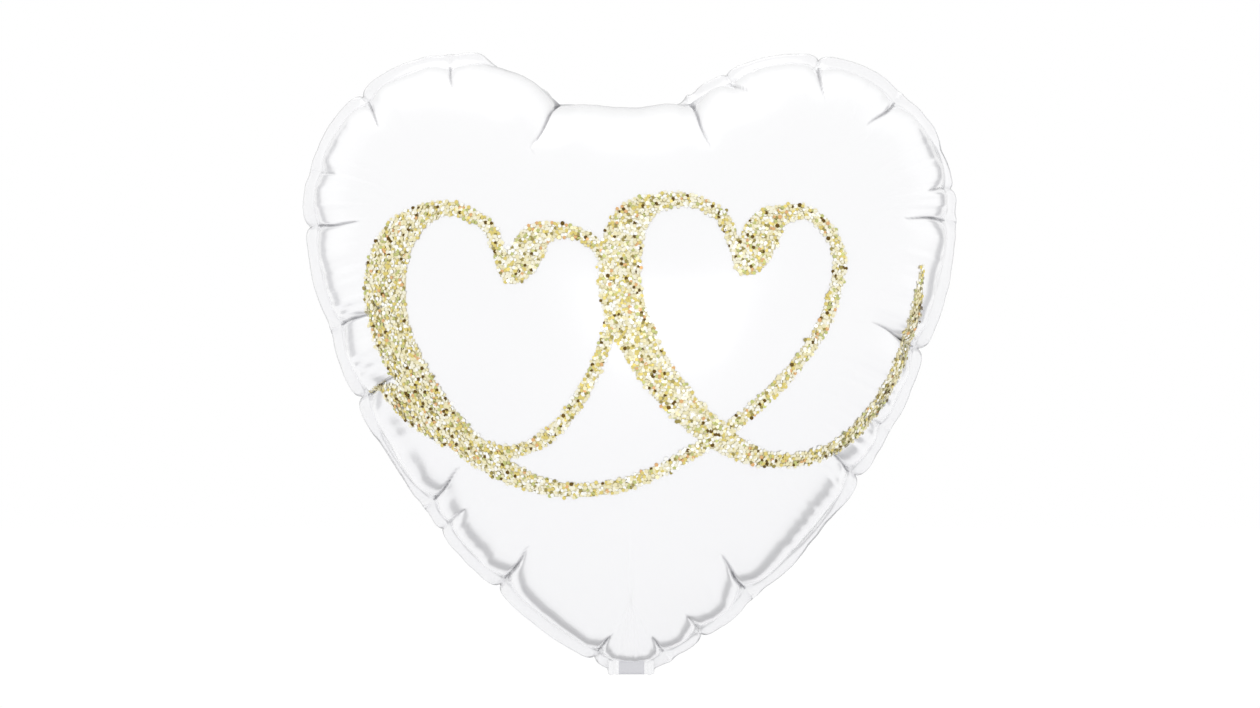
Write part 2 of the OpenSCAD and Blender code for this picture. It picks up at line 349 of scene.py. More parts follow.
def flat_panel(rim):
    """The flat panel's plan: its points, their depth in from the weld line, the rim point that
    each belongs to, its triangles and the first point of the weld line."""
    plan, depth, owner, triangles, rings = [], [], [], [], []

    def add_ring(points, deep, step):
        rings.append((sum(len(p) for p in plan), len(points)))
        plan.append(points)
        depth.append(np.full(len(points), deep))
        owner.append(np.arange(0, RIM_POINTS, step))
        if len(rings) > 1:
            triangles.extend(strip(*rings[-2], *rings[-1]))

    for width in FLANGE_WIDTHS:
        add_ring(rim.points - rim.outward * (SEAM_W - width * MM), -width * MM, 1)
    for k, deep in enumerate(RING_DEPTHS):
        step = 1 if k < FINE_RINGS else 2
        inset = SEAM_W + deep * MM
        add_ring((rim.points - rim.outward * inset)[::step], deep * MM, step)
    last = plan[-1]
    last_depth = RING_DEPTHS[-1] * MM
    for k in range(1, INNER_RINGS):
        share = 1 - k / INNER_RINGS
        # A ring has half the points of the one outside it where they would stand too close.
        point_gap = share * rim.length * 0.75 / rings[-1][1]
        if point_gap < 0.6 * CORE_DEPTH / INNER_RINGS and step < 32:
            step *= 2
        ring = CROWN + share * (last[:: step // 2] - CROWN)
        add_ring(ring, last_depth + (1 - share) * CORE_DEPTH, step)
    first, count = rings[-1]
    plan.append(CROWN[None, :])
    depth.append(np.array([last_depth + CORE_DEPTH]))
    owner.append(np.zeros(1, int))
    triangles.extend((first + i, first + (i + 1) % count, first + count) for i in range(count))
    weld_first = len(FLANGE_WIDTHS) * RIM_POINTS
    return (np.concatenate(plan), np.concatenate(depth), np.concatenate(owner),
            np.array(triangles), weld_first)


def pillow_height(plan, triangles, weld_first):
    """Height of an evenly loaded skin held at the weld line: the finite-element solution of
    Poisson's equation by conjugate gradients, raised to a power that gives a film pillow's
    upright foot and broad top."""
    count = len(plan)
    inner = triangles[(triangles >= weld_first).all(1)]
    a, b, c = (plan[inner[:, k]] for k in range(3))
    area = 0.5 * ((b - a)[:, 0] * (c - a)[:, 1] - (b - a)[:, 1] * (c - a)[:, 0])
    heads, tails, weights = [], [], []
    for k in range(3):
        i, j, opposite = inner[:, k], inner[:, (k + 1) % 3], inner[:, (k + 2) % 3]
        u, v = plan[i] - plan[opposite], plan[j] - plan[opposite]
        heads.append(i)
        tails.append(j)
        weights.append((u * v).sum(1) / (4 * np.abs(area)))
    head, tail, weight = (np.concatenate(x) for x in (heads, tails, weights))
    diagonal = np.bincount(head, weight, count) + np.bincount(tail, weight, count)
    load = np.bincount(inner.ravel(), np.repeat(np.abs(area) / 3, 3), count)
    free = np.zeros(count, bool)
    free[weld_first + RIM_POINTS:] = True
    diagonal[~free] = 1

    def stiffness(x):
        return (diagonal * x - np.bincount(head, weight * x[tail], count)
                - np.bincount(tail, weight * x[head], count)) * free

    height = np.zeros(count)
    residual = load * free
    ahead = residual / diagonal
    push = ahead.copy()
    energy = residual @ ahead
    start = energy
    most_rounds, accuracy = 3000, 1e-14
    for _ in range(most_rounds):
        pushed = stiffness(push)
        rate = energy / (push @ pushed)
        height += rate * push
        residual -= rate * pushed
        ahead = residual / diagonal
        energy, before = residual @ ahead, energy
        if energy < accuracy * start:
            break
        push = ahead + energy / before * push
    fullness = 0.47
    return BULGE * (np.clip(height, 0, None) / height.max()) ** fullness


# ---------------------------------------------------------------- creases
def crease_marks(rim, plan, height, change):
    """How far the creases press the film in, along its normal, and how much painted shade darkens
    its colour, from 0 to 1 on the line of a fold. change, from -1 to 1, makes each crease longer or
    shorter."""
    pressed, painted_fold_shade = np.zeros(len(plan)), np.zeros(len(plan))
    foot = 1 - np.exp(-height / (4 * MM))
    outside = 20 * MM
    deepest = 5 * MM
    for k, (start, ray, _, run, deep, _, fold) in enumerate(rim.creases):
        run = run * (1 + 0.25 * change[k])
        away = plan - start
        along = away @ ray
        across = away @ np.array([-ray[1], ray[0]]) * fold
        across = across + 0.6 * MM * np.sin(along / (5 * MM) + 7 * change[k] + k)
        left = np.clip(1 - along / run, 0, 1)
        steep = np.where(across > 0, CREASE_STEEP, CREASE_GENTLE)
        broad = 4 * MM + 0.16 * run
        valley = 0.72 * np.exp(-np.abs(across) / steep) + 0.28 * np.exp(-((across / broad) ** 2))
        shoulder = 0.16 * np.exp(-(((np.abs(across) - 1.6 * broad) / broad) ** 2))
        here = along > -outside
        near = smooth((60 * MM - np.abs(across)) / (20 * MM)) * here
        pressed += 1.2 * near * deep * left**0.6 * (valley - shoulder) * foot
        # Painted shade: a thin dark line on the film's colour along each fold, fading towards its
        # inner end.
        line = np.exp(-((across / FOLD_SHADE_WIDTH) ** 2)) * left**0.35 * here
        painted_fold_shade = np.maximum(painted_fold_shade, line * deep / deepest)
    return pressed, painted_fold_shade


def triangle_normals(points, triangles):
    """Outward direction at each point, from the triangles that meet there."""
    a, b, c = (points[triangles[:, k]] for k in range(3))
    face = np.cross(b - a, c - a)
    total = np.zeros_like(points)
    for k in range(3):
        for axis in range(3):
            total[:, axis] += np.bincount(triangles[:, k], face[:, axis], len(points))
    return unit(total)


def film_panel(rim, flat, height, side, seed):
    """Points of one inflated panel, its triangles, and how much painted shade darkens its colour at
    each point, along its folds and its turned-back seam.
    side is -1 for the front and 1 for the rear."""
    plan, depth, owner, triangles, _ = flat
    rng = np.random.default_rng(seed)
    change = rng.uniform(-1, 1, len(CREASES)) * (side > 0)
    outward = rim.outward[owner]
    base = np.column_stack([plan[:, 0], side * (PLY + height), plan[:, 1]])
    order = triangles if side < 0 else triangles[:, ::-1]
    normal = triangle_normals(base, order)

    inside = np.clip(depth, 0, None)
    rise = 1 - np.exp(-height / (6 * MM))
    # Crumples at the weld and broader waves behind them, then patches of fine long wrinkles.
    wrinkle = 0.34 * MM * np.exp(-inside / (9 * MM)) * rim.waves(4.5 * MM, seed + 1)[owner]
    wrinkle += 0.55 * MM * np.exp(-inside / (20 * MM)) * rim.waves(13 * MM, seed + 2)[owner]
    patches = smooth(rim.waves(60 * MM, seed + 4) * 1.5)
    wrinkle += 0.42 * MM * np.exp(-((inside / (42 * MM)) ** 2)) * (
        rim.waves(3.4 * MM, seed + 3) * patches)[owner]
    slack = 0.7 * MM * smooth(height / (60 * MM)) * (
        np.sin(plan[:, 0] / (31 * MM) + 1.3 * seed) * np.sin(plan[:, 1] / (37 * MM) + 0.7 * seed))
    pressed, painted_fold_shade = crease_marks(rim, plan, height, change)
    # Painted shade along the weld line where the flange is turned back, standing in for the shade
    # in the gap behind it.
    seam_painted_shade = np.exp(-((depth / SEAM_SHADE_WIDTH) ** 2))
    painted_fold_shade = np.maximum(painted_fold_shade, np.minimum(1, rim.turned_back())[owner] * seam_painted_shade)
    points = base + normal * (wrinkle * rise + slack - pressed)[:, None]

    points[:, [0, 2]] -= outward * (rim.pull()[owner] * np.exp(-inside / (11 * MM)))[:, None]
    points[:, 1] += rim.sway()[owner] * np.exp(-height / (9 * MM))
    for k, width in enumerate(np.array(FLANGE_WIDTHS) * MM):
        ring = slice(k * RIM_POINTS, (k + 1) * RIM_POINTS)
        reach, back = rim.flange(width)
        points[ring, 1] += back
        points[ring, 0] += rim.outward[:, 0] * (reach - width)
        points[ring, 2] += rim.outward[:, 1] * (reach - width)
    return points, order, painted_fold_shade


# ---------------------------------------------------------------- materials
def linear(hex_colour):
    """An sRGB hex colour as linear red, green, blue and alpha."""
    parts = [int(hex_colour[i:i + 2], 16) / 255 for i in (1, 3, 5)]
    return [c / 12.92 if c <= 0.04045 else ((c + 0.055) / 1.055) ** 2.4 for c in parts] + [1]


def add_node(tree, kind, values=None, links=None, **settings):
    """Adds a node, sets its properties and input values, and links its inputs."""
    made = tree.nodes.new(kind)
    for name, value in settings.items():
        setattr(made, name, value)
    for name, value in (values or {}).items():
        made.inputs[name].default_value = value
    for name, source in (links or {}).items():
        tree.links.new(source, made.inputs[name])
    return made


def new_material(name):
    """An empty material with its output node."""
    material = bpy.data.materials.new(name)
    material.use_nodes = True
    material.node_tree.nodes.clear()
    return material, material.node_tree


def finish_material(tree, shader):
    """Sends a shader to the material's output."""
    add_node(tree, "ShaderNodeOutputMaterial", links={"Surface": shader.outputs[0]})


def pearl_film():
    """Metallised nylon film with a pearl-white ink, clear-coated: a bright body that looks lit
    from inside, with the soft-edged mirror of a coated film over it."""
    material, tree = new_material("pearl_white_film")
    place = add_node(tree, "ShaderNodeTexCoord")
    # Handling leaves a faint orange-peel about 5 mm across in film this thin.
    peel = add_node(tree, "ShaderNodeTexNoise", {"Scale": 1 / (5 * MM), "Detail": 3.0},
                    {"Vector": place.outputs["Object"]})
    bump = add_node(tree, "ShaderNodeBump", {"Strength": 0.12, "Distance": 0.06 * MM},
                    {"Height": peel.outputs["Fac"]})
    cloud = add_node(tree, "ShaderNodeTexNoise", {"Scale": 1 / (60 * MM), "Detail": 2.0},
                     {"Vector": place.outputs["Object"]})
    rough = add_node(tree, "ShaderNodeMapRange", {"To Min": 0.21, "To Max": 0.26},
                     {"Value": cloud.outputs["Fac"]})
    # Painted shade: the film's colour darkens to grey along the line of each sharp fold and of the
    #     turned-back seam, standing in for the shade that falls in the fold.
    fold = add_node(tree, "ShaderNodeAttribute", attribute_name="painted_fold_shade")
    tone = add_node(tree, "ShaderNodeValToRGB", links={"Fac": fold.outputs["Fac"]})
    tone.color_ramp.elements[0].color = linear("#F8F8F9")
    tone.color_ramp.elements[1].color = linear("#95959A")
    shader = add_node(
        tree, "ShaderNodeBsdfPrincipled",
        {"Metallic": 0.5, "IOR": 1.5, "Coat Weight": 0.6, "Coat Roughness": 0.06, "Coat IOR": 1.5},
        {"Base Color": tone.outputs[0], "Roughness": rough.outputs[0], "Normal": bump.outputs[0]})
    finish_material(tree, shader)
    return material


def heat_seal():
    """Film welded flat under a hot bar: a paler, duller band with the bar's fine ribs in it."""
    material, tree = new_material("heat_sealed_film")
    place = add_node(tree, "ShaderNodeTexCoord")
    # The bar's ribs are 0.6 mm apart, and are drawn at 1.2 mm so that they show.
    ribs = add_node(tree, "ShaderNodeTexNoise", {"Scale": 1 / (1.2 * MM), "Detail": 1.0},
                    {"Vector": place.outputs["Object"]})
    bump = add_node(tree, "ShaderNodeBump", {"Strength": 0.15, "Distance": 0.05 * MM},
                    {"Height": ribs.outputs["Fac"]})
    shader = add_node(
        tree, "ShaderNodeBsdfPrincipled",
        {"Base Color": linear("#F8F8F9"), "Metallic": 0.45, "Roughness": 0.26, "IOR": 1.5,
         "Coat Weight": 0.3, "Coat Roughness": 0.12},
        {"Normal": bump.outputs[0]})
    finish_material(tree, shader)
    return material


def glitter_flake(name, hex_colour, roughness):
    """A cut flake of vacuum-metallised polyester: a small flat mirror tinted by its lacquer."""
    material, tree = new_material(name)
    shader = add_node(tree, "ShaderNodeBsdfPrincipled",
                      {"Base Color": linear(hex_colour), "Metallic": 1.0, "Roughness": roughness})
    finish_material(tree, shader)
    return material


def glitter_binder():
    """Screen-printed glitter ink between the flakes: a matt ochre varnish full of fine dust."""
    material, tree = new_material("glitter_ink")
    place = add_node(tree, "ShaderNodeTexCoord")
    # The dust is 0.2 mm across, and is drawn at 0.8 mm so that it shows.
    dust = add_node(tree, "ShaderNodeTexVoronoi", {"Scale": 1 / (0.8 * MM)},
                    {"Vector": place.outputs["Object"]})
    tone = add_node(tree, "ShaderNodeValToRGB", links={"Fac": dust.outputs["Distance"]})
    tone.color_ramp.elements[0].color = linear("#F4EFD8")
    tone.color_ramp.elements[1].color = linear("#DAD0A4")
    tone.color_ramp.elements[1].position = 0.7
    shader = add_node(tree, "ShaderNodeBsdfPrincipled",
                      {"Metallic": 0.6, "Roughness": 0.45}, {"Base Color": tone.outputs[0]})
    finish_material(tree, shader)
    return material


def bare_film():
    """The same film left unprinted: grey aluminium, bright but not quite a mirror."""
    material, tree = new_material("bare_metallised_film")
    place = add_node(tree, "ShaderNodeTexCoord")
    # The neck is handled most, which leaves crinkles about 3 mm across.
    crinkle = add_node(tree, "ShaderNodeTexNoise", {"Scale": 1 / (3 * MM), "Detail": 2.0},
                       {"Vector": place.outputs["Object"]})
    bump = add_node(tree, "ShaderNodeBump", {"Strength": 0.25, "Distance": 0.15 * MM},
                    {"Height": crinkle.outputs["Fac"]})
    shader = add_node(tree, "ShaderNodeBsdfPrincipled",
                      {"Base Color": linear("#D0D0D4"), "Metallic": 1.0, "Roughness": 0.24},
                      {"Normal": bump.outputs[0]})
    finish_material(tree, shader)
    return material


def clear_film():
    """Blown polyethylene film of the valve: clear, with the uneven haze of a heat-sealing grade."""
    material, tree = new_material("clear_valve_film")
    place = add_node(tree, "ShaderNodeTexCoord")
    # Blowing leaves patches of more and less haze, about 6 mm across.
    haze = add_node(tree, "ShaderNodeTexNoise", {"Scale": 1 / (6 * MM), "Detail": 3.0},
                    {"Vector": place.outputs["Object"]})
    rough = add_node(tree, "ShaderNodeMapRange", {"To Min": 0.14, "To Max": 0.3},
                     {"Value": haze.outputs["Fac"]})
    veil = add_node(tree, "ShaderNodeMapRange", {"To Min": 0.45, "To Max": 0.65},
                    {"Value": haze.outputs["Fac"]})
    shader = add_node(tree, "ShaderNodeBsdfPrincipled",
                      {"Base Color": linear("#E4ECED"), "IOR": 1.51},
                      {"Roughness": rough.outputs[0], "Alpha": veil.outputs[0]})
    finish_material(tree, shader)
    return material


def heatproof_ink():
    """A flat blue-grey ink that keeps the valve from welding shut, mottled by its printing
    screen."""
    material, tree = new_material("heatproof_ink")
    place = add_node(tree, "ShaderNodeTexCoord")
    # The screen's mesh is 0.3 mm apart, and its mottle is drawn at 1.2 mm so that it shows.
    mottle = add_node(tree, "ShaderNodeTexNoise", {"Scale": 1 / (1.2 * MM), "Detail": 2.0},
                      {"Vector": place.outputs["Object"]})
    tone = add_node(tree, "ShaderNodeValToRGB", links={"Fac": mottle.outputs["Fac"]})
    tone.color_ramp.elements[0].color = linear("#6489A6")
    tone.color_ramp.elements[1].color = linear("#7B9EB7")
    shader = add_node(tree, "ShaderNodeBsdfPrincipled", {"Roughness": 0.6, "IOR": 1.5},
                      {"Base Color": tone.outputs[0]})
    finish_material(tree, shader)
    return material


# ---------------------------------------------------------------- glitter print
def brush_path(steps=16):
    """The brush line as a smooth curve with its width at each point."""
    line = np.array(BRUSH_LINE, float) * MM
    padded = np.vstack([line[:1], line, line[-1:]])
    t = np.arange(steps)[:, None] / steps
    parts = []
    for i in range(len(line) - 1):
        p0, p1, p2, p3 = padded[i:i + 4]
        parts.append(0.5 * (2 * p1 + (p2 - p0) * t + (2 * p0 - 5 * p1 + 4 * p2 - p3) * t**2
                            + (3 * p1 - p0 - 3 * p2 + p3) * t**3))
    path = np.vstack(parts + [line[-1:]])
    heading = unit(np.gradient(path, axis=0))
    travelled = np.concatenate([[0], np.cumsum(np.linalg.norm(np.diff(path, axis=0), axis=1))])
    fall = np.clip(-heading[:, 1], 0, 1)
    width = BRUSH_THIN + (BRUSH_THICK - BRUSH_THIN) * fall**1.5
    window = 13
    eased = np.pad(width, window // 2, mode="edge")
    width = np.convolve(eased, np.ones(window) / window, "valid")
    to_end = np.minimum(travelled, travelled[-1] - travelled)
    taper = 30 * MM
    return path, width * (0.35 + 0.65 * smooth(to_end / taper))


def brush_margin(points, path, width):
    """How far inside the brush line each point is: below zero is outside."""
    margin = np.full(len(points), -1.0)
    for centre, w in zip(path, width):
        margin = np.maximum(margin, w / 2 - np.linalg.norm(points - centre, axis=1))
    return margin


class FilmSurface:
    """Finds the front panel's surface over a place in plan."""

    def __init__(self, points, triangles):
        self.tree = BVHTree.FromPolygons(points.tolist(), triangles.tolist())

    def at(self, x, z):
        in_front = -300 * MM
        place, normal, _, _ = self.tree.ray_cast((x, in_front, z), (0, 1, 0))
        return np.array(place), np.array(normal)


def square_grid(path, width, pitch, inside):
    """Cells of a square grid that lie inside the brush line, as the grid places of their low
    corners."""
    low = (path.min(0) - BRUSH_THICK) / pitch
    high = (path.max(0) + BRUSH_THICK) / pitch
    xs = np.arange(math.floor(low[0]), math.ceil(high[0]))
    zs = np.arange(math.floor(low[1]), math.ceil(high[1]))
    gx, gz = (g.ravel() for g in np.meshgrid(xs, zs))
    centres = np.column_stack([gx + 0.5, gz + 0.5]) * pitch
    keep = brush_margin(centres, path, width) > inside
    return list(zip(gx[keep].tolist(), gz[keep].tolist()))


def make_glitter_ink(film, path, width, material):
    """The varnish under the flakes, a thin layer that follows the film."""
    pitch, margin = 1.25 * MM, 0.5 * MM
    ink_t, ink_top = 0.15 * MM, 0.2 * MM
    index, points, faces = {}, [], []
    for cx, cz in square_grid(path, width, pitch, margin):
        corners = []
        for key in ((cx, cz), (cx + 1, cz), (cx + 1, cz + 1), (cx, cz + 1)):
            if key not in index:
                index[key] = len(points)
                place, normal = film.at(key[0] * pitch, key[1] * pitch)
                points.append(place + normal * ink_top)
            corners.append(index[key])
        faces.append(corners)
    piece = new_piece("glitter_ink", points, faces, [material], "envelope")
    thicken(piece, ink_t, -1)
    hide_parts("print_entry_stroke", "print_middle_stroke", "print_exit_stroke")


def flake_places(path, width, rng):
    """Places of the flakes: a shaken honeycomb over the brush line, ragged at its edge."""
    side, top = 190 * MM, 300 * MM
    rows = np.arange(-BRUSH_THICK, top, FLAKE_PITCH * 0.866)
    columns = np.arange(-side, side, FLAKE_PITCH)
    gx, gz = np.meshgrid(columns, rows)
    gx = gx + (np.arange(len(rows)) % 2)[:, None] * FLAKE_PITCH / 2
    spots = np.column_stack([gx.ravel(), gz.ravel()])
    spots += rng.uniform(-0.3, 0.3, spots.shape) * FLAKE_PITCH
    margin = brush_margin(spots, path, width)
    return spots[margin > rng.normal(0.1, 0.35, len(spots)) * MM]


def make_glitter_flakes(film, path, width, materials, shares):
    """Loose-cut hexagonal flakes, each a thin prism that lies nearly flat on the ink."""
    rng = np.random.default_rng(11)
    corners = 6
    tilt = 0.16
    flake_t = 0.1 * MM
    not_face_up = [0.31, 0.17, 0.93]
    points, faces, kinds = [], [], []
    for x, z in flake_places(path, width, rng):
        place, normal = film.at(x, z)
        face_up = unit(normal + rng.normal(0, tilt, 3))
        side = unit(np.cross(face_up, not_face_up))
        other = np.cross(face_up, side)
        radius = rng.uniform(0.85, 1.25) * MM
        spin = rng.uniform(0, math.pi / 3)
        lift = rng.uniform(0.35, 0.75) * MM
        first = len(points)
        for level in (lift - flake_t, lift):
            for k in range(corners):
                a = spin + k * 2 * math.pi / corners
                corner = math.cos(a) * side + math.sin(a) * other
                points.append(place + normal * level + radius * corner)
        faces.append([first + corners + k for k in range(corners)])
        faces.append([first + corners - 1 - k for k in range(corners)])
        for k in range(corners):
            j = (k + 1) % corners
            faces.append([first + k, first + j, first + corners + j, first + corners + k])
        kinds += [rng.choice(len(materials), p=shares)] * (corners + 2)
    piece = new_piece("glitter_flakes", points, faces, materials, "envelope",
                      smooth_faces=False)
    piece.data.polygons.foreach_set("material_index", kinds)


# ---------------------------------------------------------------- tail
TAIL_TOP = 7.4 * MM
TAIL_TURN = math.pi / 2 + TAIL_RISE
TAIL_COLUMNS = 48
TAIL_ROWS = 128
BARE_W = 14.6 * MM

# Each ply's standoff from the middle of the neck and the radius of its fold.
OUTER_STANDOFF = 0.6 * MM
OUTER_BEND_R = 0.6 * MM
INNER_BEND_R = 2.0 * MM


class TailPly:
    """One ply of the tail, as a line in the YZ plane with a width: down the neck to the fold, round
    it, and out behind. The fold's arc touches the neck's plane and the tail's, less the standoff.
    side is 1 for the ply outside the fold and -1 for the one inside it."""

    def __init__(self, side):
        self.side = side
        self.standoff = OUTER_STANDOFF if side > 0 else 0
        self.bend_r = OUTER_BEND_R if side > 0 else INNER_BEND_R
        self.reach = (self.bend_r - self.standoff) * math.tan(TAIL_TURN / 2)
        self.lead = TAIL_TOP - self.reach
        self.fold_end = self.lead + self.bend_r * TAIL_TURN
        self.length = self.fold_end - self.reach + TAIL_L

    def at(self, run):
        """The point and the outward side at a length from the top."""
        if run < self.lead:
            return (-self.standoff, TAIL_TOP - run), (-1, 0)
        if run < self.fold_end:
            bent = (run - self.lead) / self.bend_r
            out_y, out_z = -math.cos(bent), -math.sin(bent)
            centre_y = self.bend_r - self.standoff
            place = (centre_y + self.bend_r * out_y, self.reach + self.bend_r * out_z)
            return place, (out_y, out_z)
        out = run - self.fold_end + self.reach
        out_y, out_z = math.sin(TAIL_RISE), -math.cos(TAIL_RISE)
        place = (-out_z * out + self.standoff * out_y, out_y * out + self.standoff * out_z)
        return place, (out_y, out_z)

    def half_width(self, run):
        """Half the tail's width: gathered at the fold, and round at the end's corners."""
        beyond = max(0, run - self.fold_end)
        half = TAIL_W / 2 * (1 - 0.14 * math.exp(-((beyond / (9 * MM)) ** 2)))
        to_corner = TAIL_CORNER_R - (self.length - run)
        if to_corner > 0:
            half -= TAIL_CORNER_R - math.sqrt(max(0, TAIL_CORNER_R**2 - to_corner**2))
        return half

    def lift(self, x, run):
        """How far the ply lies from its line: pleats where it is gathered, then a slack tube. The
        heights are in millimetres until the last line."""
        beyond = max(0, run - self.fold_end)
        from_weld = self.half_width(run) - abs(x) - TAIL_WELD_W
        tube = smooth(from_weld / (2 * MM)) * smooth(beyond / (5 * MM))
        gather = math.exp(-beyond / (8 * MM)) * smooth(run / (3 * MM))
        pleated = smooth((abs(x) - BARE_W / 2) / (1.5 * MM))
        pleat = (0.45 * math.cos(2 * math.pi * x / (3.6 * MM) + 0.7) + 0.15) * pleated
        ripple = smooth(beyond / (18 * MM)) * math.sin(x / (6 * MM) + beyond / (17 * MM))
        ripple += 0.5 * smooth(beyond / (6 * MM)) * math.sin(beyond / (4.2 * MM) - x / (11 * MM))
        inward = self.standoff * smooth(beyond / (6 * MM))
        if self.side < 0:
            inward += 0.6 * MM * gather
        return (self.side * (0.07 + tube) + gather * pleat + 0.32 * ripple) * MM - inward


def tail_points(ply, hole):
    """A grid of points over a ply: each one's place across and along it, whether it was drawn to
    the edge of the filling hole, and its place in space."""
    hole_run = ply.fold_end - ply.reach + INLET_DROP
    drawn_from = INLET_R + 0.4 * MM
    flat, points = [], []
    for i in range(TAIL_ROWS + 1):
        for k in range(TAIL_COLUMNS + 1):
            run = ply.length * i / TAIL_ROWS
            x = ply.half_width(run) * (2 * k / TAIL_COLUMNS - 1)
            off = math.hypot(x, run - hole_run)
            drawn = hole and off < drawn_from
            if drawn:
                pull = INLET_R / max(off, 1e-9)
                x, run = x * pull, hole_run + (run - hole_run) * pull
            (y, z), (out_y, out_z) = ply.at(run)
            lift = ply.lift(x, run)
            flat.append((x, run, drawn))
            points.append((x, y + out_y * lift, z + out_z * lift))
    return flat, points


def make_tail_ply(name, nodes, side, hole, materials):
    """One ply of the tail as a crinkled sheet, welded down its sides. The outer one is bare in the
    middle as far as the fold."""
    ply = TailPly(side)
    flat, points = tail_points(ply, hole)
    faces, kinds = [], []
    row = TAIL_COLUMNS + 1
    for i in range(TAIL_ROWS):
        for k in range(TAIL_COLUMNS):
            first = i * row + k
            face = [first, first + row, first + row + 1, first + 1]
            if all(flat[corner][2] for corner in face):
                continue
            x, run, _ = flat[first]
            bare = side > 0 and abs(x) < BARE_W / 2 and run < ply.fold_end
            welded = ply.half_width(run) - abs(x) < TAIL_WELD_W
            faces.append(face if side > 0 else face[::-1])
            kinds.append(2 if bare else int(welded))
    used = sorted({corner for face in faces for corner in face})
    renumber = {corner: i for i, corner in enumerate(used)}
    piece = new_piece(name, [points[corner] for corner in used],
                      [[renumber[corner] for corner in face] for face in faces], materials)
    piece.data.polygons.foreach_set("material_index", kinds)
    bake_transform(piece)
    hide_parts(*nodes)
    thicken(piece, 0.1 * MM, 0)


# ---------------------------------------------------------------- the balloon
def make_seam(rim, material):
    """The welded layer between the two plies, which shows at the cut edge."""
    weld = rim.points - rim.outward * (SEAM_W + rim.pull())[:, None]
    half_t, edge_gap = 0.4 * MM, 0.15 * MM
    points, rows = [], []
    for face_y, widths in ((-half_t, FLANGE_WIDTHS + [0]), (half_t, [0] + FLANGE_WIDTHS[::-1])):
        for width in widths:
            reach, back = rim.flange(max(0, width * MM - edge_gap))
            ring = weld + rim.outward * reach[:, None]
            rows.append(len(points))
            points += [(x, y + face_y, z) for (x, z), y in zip(ring, rim.sway() + back)]
    faces = []
    for a, b in zip(rows, rows[1:] + rows[:1]):
        faces += [(a + i, b + i, b + (i + 1) % RIM_POINTS, a + (i + 1) % RIM_POINTS)
                  for i in range(RIM_POINTS)]
    piece = new_piece("seam_weld", points, faces, [material], "envelope")
    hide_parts("perimeter_seal")


def make_balloon():
    """The two panels, the seam, the glitter print and the tail."""
    film, seal = pearl_film(), heat_seal()
    rim = Rim()
    flat = flat_panel(rim)
    plan, depth, _, triangles, weld_first = flat
    height = pillow_height(plan, triangles, weld_first)
    front = film_panel(rim, flat, height, -1, 5)
    rear = film_panel(rim, flat, height, 1, 9)
    on_flange = (depth[triangles].max(1) <= 1e-9).astype(np.int32)
    for name, (points, order, painted_fold_shade), node in (
        ("front_film", front, "front_panel"), ("rear_film", rear, "rear_panel"),
    ):
        piece = new_piece(name, points, order, [film, seal], "envelope")
        piece.data.polygons.foreach_set("material_index", on_flange)
        # The painted shade along folds and the turned-back seam rides on the mesh as a point
        # attribute that darkens the film's colour.
        piece.data.attributes.new("painted_fold_shade", "FLOAT", "POINT").data.foreach_set("value", painted_fold_shade)
        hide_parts(node)
        thicken(piece, 0.12 * MM, -1)
    make_seam(rim, seal)

    surface = FilmSurface(*front[:2])
    path, width = brush_path()
    make_glitter_ink(surface, path, width, glitter_binder())
    materials = [glitter_flake(name, colour, rough) for name, colour, rough, _ in FLAKES]
    make_glitter_flakes(surface, path, width, materials, [share for *_, share in FLAKES])

    make_tail_ply("tail_front_film", ["tail_front_ply"], 1, False, [film, seal, bare_film()])
    make_tail_ply("tail_rear_film", ["tail_rear_ply", "tail_side_seals"], -1, True, [film, seal])


def dress_cad_nodes():
    """The valve's flat films, welds and coat keep their CAD shapes."""
    clear, seal, ink = clear_film(), heat_seal(), heatproof_ink()
    chosen = {
        "valve_anchor_front": clear, "valve_anchor_rear": clear, "valve_front_film": clear,
        "valve_rear_film": clear, "valve_inlet_front": clear, "valve_inlet_rear": clear,
        "valve_side_welds": seal, "release_coat": ink,
    }
    for name, material in chosen.items():
        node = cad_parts[name]
        node.data.materials.clear()
        node.data.materials.append(material)


# ---------------------------------------------------------------- studio
def make_card(name, width, height, material):
    """A flat rectangle of the studio, level at the origin."""
    x, y = width / 2, height / 2
    card = new_piece(name, [(-x, -y, 0), (x, -y, 0), (x, y, 0), (-x, y, 0)], [(0, 1, 2, 3)],
                     [material])
    return card


def make_floor():
    """A pale matt floor that fades, far from the object, into the white of the surround. It looks
    greyer than the light that it throws, so that white film stands out from it."""
    material, tree = new_material("studio_floor")
    place = add_node(tree, "ShaderNodeTexCoord")
    away = add_node(tree, "ShaderNodeVectorMath", operation="LENGTH",
                    links={"Vector": place.outputs["Object"]})
    fade = add_node(tree, "ShaderNodeMapRange", {"From Min": 0.7, "From Max": 1.9},
                    {"Value": away.outputs["Value"]}, interpolation_type="SMOOTHSTEP")
    thrown = add_node(tree, "ShaderNodeBsdfDiffuse", {"Color": linear("#F8F8F9")})
    seen = add_node(tree, "ShaderNodeBsdfDiffuse", {"Color": linear("#E4E4E8")})
    path = add_node(tree, "ShaderNodeLightPath")
    near = add_node(tree, "ShaderNodeMixShader", links={
        0: path.outputs["Is Camera Ray"], 1: thrown.outputs[0], 2: seen.outputs[0]})
    far = add_node(tree, "ShaderNodeEmission", {"Color": linear("#FFFFFF"), "Strength": 1.02})
    mix = add_node(tree, "ShaderNodeMixShader", links={
        0: fade.outputs[0], 1: near.outputs[0], 2: far.outputs[0]})
    finish_material(tree, mix)
    floor = make_card("studio_floor", 12, 12, material)
    floor.location.z = -220 * MM


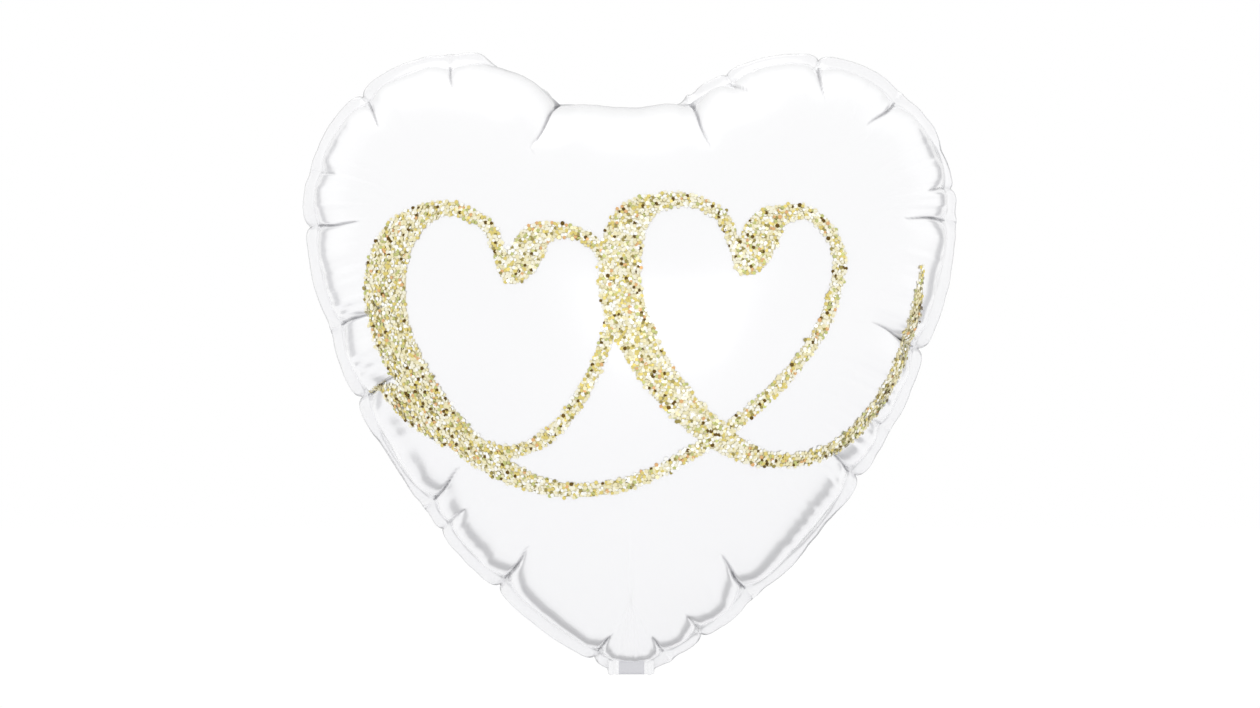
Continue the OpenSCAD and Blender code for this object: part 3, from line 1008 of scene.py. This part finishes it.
def make_surround():
    """A white surround, a little brighter beside and just behind the object than in front of it
    or straight behind."""
    world = bpy.data.worlds.new("studio")
    world.use_nodes = True
    bpy.context.scene.world = world
    tree = world.node_tree
    tree.nodes.clear()
    place = add_node(tree, "ShaderNodeTexCoord")
    split = add_node(tree, "ShaderNodeSeparateXYZ", links={"Vector": place.outputs["Generated"]})
    along = add_node(tree, "ShaderNodeMapRange", {"From Min": -1.0, "From Max": 1.0},
                     {"Value": split.outputs["Y"]})
    level = add_node(tree, "ShaderNodeValToRGB", links={"Fac": along.outputs[0]})
    stops = level.color_ramp.elements
    for k, (at, grey) in enumerate([(0.375, 0.93), (0.475, 1.0), (0.72, 1.0), (0.92, 0.8)]):
        stop = stops[k] if k < 2 else stops.new(at)
        stop.position = at
        stop.color = (grey, grey, grey, 1)
    light = add_node(tree, "ShaderNodeBackground", {"Strength": 1.08}, {"Color": level.outputs[0]})
    seen = add_node(tree, "ShaderNodeBackground", {"Color": linear("#FFFFFF"), "Strength": 1.0})
    path = add_node(tree, "ShaderNodeLightPath")
    mix = add_node(tree, "ShaderNodeMixShader", links={
        0: path.outputs["Is Camera Ray"], 1: light.outputs[0], 2: seen.outputs[0]})
    add_node(tree, "ShaderNodeOutputWorld", links={"Surface": mix.outputs[0]})


def make_flag(name, grey, place, size, turn):
    """A grey card that only mirrors see, for the film's folds and edges. turn is its rotation in
    degrees from lying level."""
    material, tree = new_material(name)
    finish_material(tree, add_node(tree, "ShaderNodeBsdfDiffuse", {"Color": linear(grey)}))
    card = make_card(name, *size, material)
    card.location = place
    card.rotation_euler = [math.radians(angle) for angle in turn]
    card.visible_camera = False
    card.visible_diffuse = False
    card.visible_shadow = False


def make_softbox(name, place, size, power):
    """A rectangular softbox aimed at the middle of the balloon."""
    lamp = bpy.data.lights.new(name, "AREA")
    lamp.shape = "RECTANGLE"
    lamp.size, lamp.size_y = size
    lamp.energy = power
    box = bpy.data.objects.new(name, lamp)
    bpy.context.scene.collection.objects.link(box)
    box.location = place
    box.rotation_euler = (MIDDLE - Vector(place)).to_track_quat("-Z", "Y").to_euler()
    box.visible_camera = False


def make_studio():
    """White floor and surround, cards that darken the rim's reflections, and two soft lights."""
    bpy.context.scene.view_settings.view_transform = "Standard"
    make_floor()
    make_surround()
    make_flag("left_flag", "#B4B4B7", (-1.0, 0.66, 0.35), (0.32, 1.0), (90, 0, 57))
    make_flag("right_flag", "#9C9C9F", (1.0, 0.66, 0.35), (0.32, 1.0), (90, 0, -57))
    make_flag("low_flag", "#78787B", (0, 0.2, -0.215), (1.4, 0.18), (0, 0, 0))
    make_softbox("front_softbox", (0.2, -1.8, 0.3), (0.9, 0.6), 0.6)
    make_softbox("top_softbox", (-0.3, 0.1, 1.6), (0.8, 0.8), 1.0)


make_camera()
make_studio()
make_balloon()
dress_cad_nodes()
